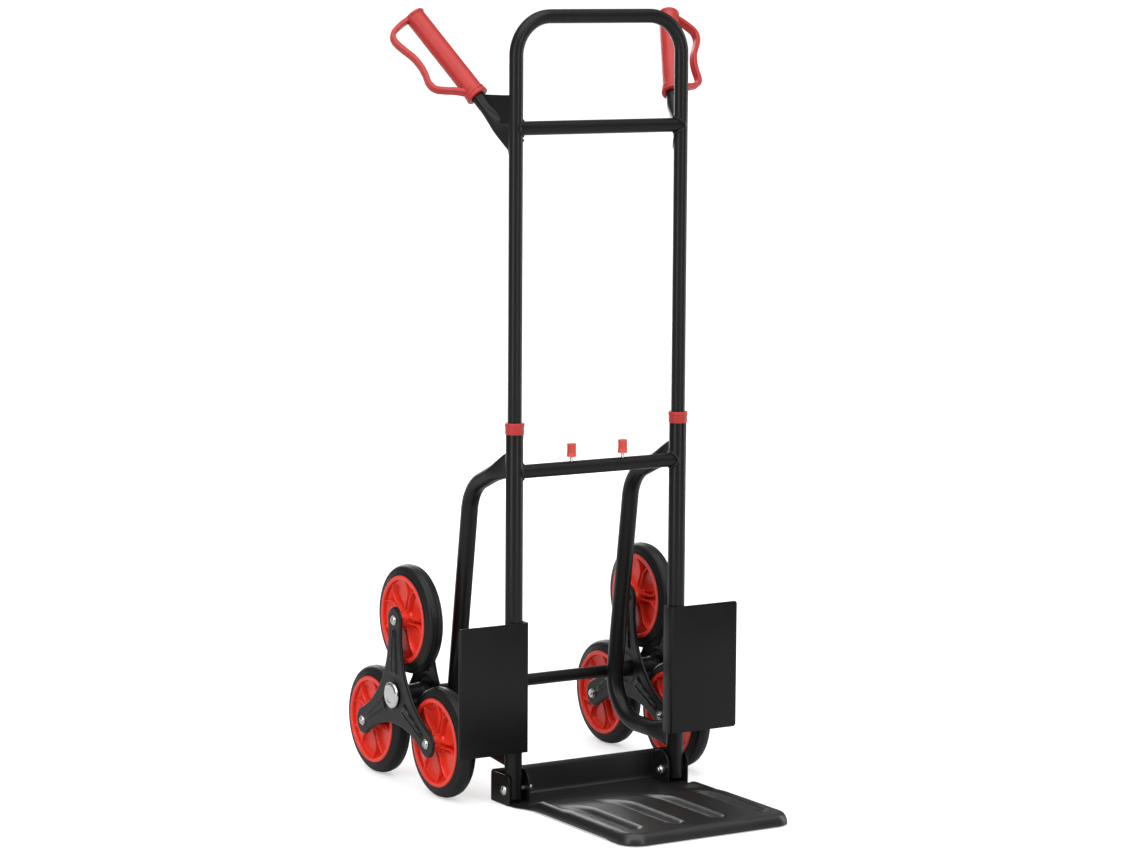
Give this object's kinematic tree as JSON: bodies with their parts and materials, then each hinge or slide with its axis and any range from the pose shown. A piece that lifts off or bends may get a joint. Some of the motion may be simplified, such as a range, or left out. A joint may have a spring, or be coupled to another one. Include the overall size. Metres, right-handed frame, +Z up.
{
  "type": "stair climbing trolley",
  "caption": "Stair climbing hand truck with a folding toe plate, telescopic handle frame, angled grips with finger guards and a rotating three-wheel star on each side",
  "frame": {"origin": "on the floor, at the middle of the trolley's footprint", "axes": "+Z up, -Y towards the load on the toe plate, +Y towards the person pulling, +X to the right seen from the load's side"},
  "size_m": [0.5186, 0.6712, 1.129],
  "materials": {
    "frame_black": "black satin powder coat",
    "grip_red": "red moulded plastic",
    "tyre_rubber": "black moulded rubber",
    "rim_red": "bright red moulded plastic",
    "zinc_steel": "zinc plated",
    "chrome": "bright cap",
    "black_plastic": "black moulded plastic"
  },
  "bodies": {
    "lower_frame": {"middle_crossbar": "frame_black", "axle": "frame_black", "left_lower_upright": "frame_black", "left_collar": "grip_red", "left_axle_loop": "frame_black", "left_guard_plate": "frame_black", "right_lower_upright": "frame_black", "right_collar": "grip_red", "right_axle_loop": "frame_black", "right_guard_plate": "frame_black"},
    "handle_assembly": {"handle_frame": "frame_black", "upper_crossbar": "frame_black", "left_handle_tube": "frame_black", "left_handle_gusset": "frame_black", "left_grip": "grip_red", "left_tube_guide": "black_plastic", "right_handle_tube": "frame_black", "right_handle_gusset": "frame_black", "right_grip": "grip_red", "right_tube_guide": "black_plastic"},
    "toe_assembly": {"toe_plate": "frame_black", "left_inner_cheek": "frame_black", "left_pivot_bolt": "zinc_steel", "left_pivot_nut": "zinc_steel", "right_inner_cheek": "frame_black", "right_pivot_bolt": "zinc_steel", "right_pivot_nut": "zinc_steel"},
    "left_latch": {"left_latch_pin": "zinc_steel", "left_latch_knob": "grip_red"},
    "left_star": {"left_inner_bracket": "frame_black", "left_outer_bracket": "frame_black", "left_star_hub": "black_plastic", "left_hub_cap": "chrome", "left_top_bolt": "zinc_steel", "left_rear_bolt": "zinc_steel", "left_front_bolt": "zinc_steel"},
    "left_top_wheel": {"left_top_tyre": "tyre_rubber", "left_top_rim": "rim_red"},
    "left_rear_wheel": {"left_rear_tyre": "tyre_rubber", "left_rear_rim": "rim_red"},
    "left_front_wheel": {"left_front_tyre": "tyre_rubber", "left_front_rim": "rim_red"},
    "right_latch": {"right_latch_pin": "zinc_steel", "right_latch_knob": "grip_red"},
    "right_star": {"right_inner_bracket": "frame_black", "right_outer_bracket": "frame_black", "right_star_hub": "black_plastic", "right_hub_cap": "chrome", "right_top_bolt": "zinc_steel", "right_rear_bolt": "zinc_steel", "right_front_bolt": "zinc_steel"},
    "right_top_wheel": {"right_top_tyre": "tyre_rubber", "right_top_rim": "rim_red"},
    "right_rear_wheel": {"right_rear_tyre": "tyre_rubber", "right_rear_rim": "rim_red"},
    "right_front_wheel": {"right_front_tyre": "tyre_rubber", "right_front_rim": "rim_red"}
  },
  "joints": [
    {"name": "handle_slide", "type": "slide", "parent": "lower_frame", "child": "handle_assembly", "axis": [0, 0, 1], "range_m": [-0.36, 0]},
    {"name": "toe_fold", "type": "hinge", "parent": "lower_frame", "child": "toe_assembly", "pos_m": [0, -0.02663, 0.022], "axis": [-1, 0, 0], "range_deg": [0, 80]},
    {"name": "left_latch_slide", "type": "slide", "parent": "lower_frame", "child": "left_latch", "axis": [1, 0, 0], "range_m": [0, 0.012], "stiffness_N_per_m": 400, "springref_m": -0.008},
    {"name": "left_star_turn", "type": "hinge", "parent": "lower_frame", "child": "left_star", "pos_m": [-0.2005, 0.16037, 0.135], "axis": [1, 0, 0], "continuous": true},
    {"name": "left_top_wheel_turn", "type": "hinge", "parent": "left_star", "child": "left_top_wheel", "pos_m": [-0.2005, 0.16037, 0.245], "axis": [1, 0, 0], "continuous": true},
    {"name": "left_rear_wheel_turn", "type": "hinge", "parent": "left_star", "child": "left_rear_wheel", "pos_m": [-0.2005, 0.25563, 0.08], "axis": [1, 0, 0], "continuous": true},
    {"name": "left_front_wheel_turn", "type": "hinge", "parent": "left_star", "child": "left_front_wheel", "pos_m": [-0.2005, 0.06511, 0.08], "axis": [1, 0, 0], "continuous": true},
    {"name": "right_latch_slide", "type": "slide", "parent": "lower_frame", "child": "right_latch", "axis": [-1, 0, 0], "range_m": [0, 0.012], "stiffness_N_per_m": 400, "springref_m": -0.008},
    {"name": "right_star_turn", "type": "hinge", "parent": "lower_frame", "child": "right_star", "pos_m": [0.2005, 0.16037, 0.135], "axis": [1, 0, 0], "continuous": true},
    {"name": "right_top_wheel_turn", "type": "hinge", "parent": "right_star", "child": "right_top_wheel", "pos_m": [0.2005, 0.16037, 0.245], "axis": [1, 0, 0], "continuous": true},
    {"name": "right_rear_wheel_turn", "type": "hinge", "parent": "right_star", "child": "right_rear_wheel", "pos_m": [0.2005, 0.25563, 0.08], "axis": [1, 0, 0], "continuous": true},
    {"name": "right_front_wheel_turn", "type": "hinge", "parent": "right_star", "child": "right_front_wheel", "pos_m": [0.2005, 0.06511, 0.08], "axis": [1, 0, 0], "continuous": true}
  ]
}
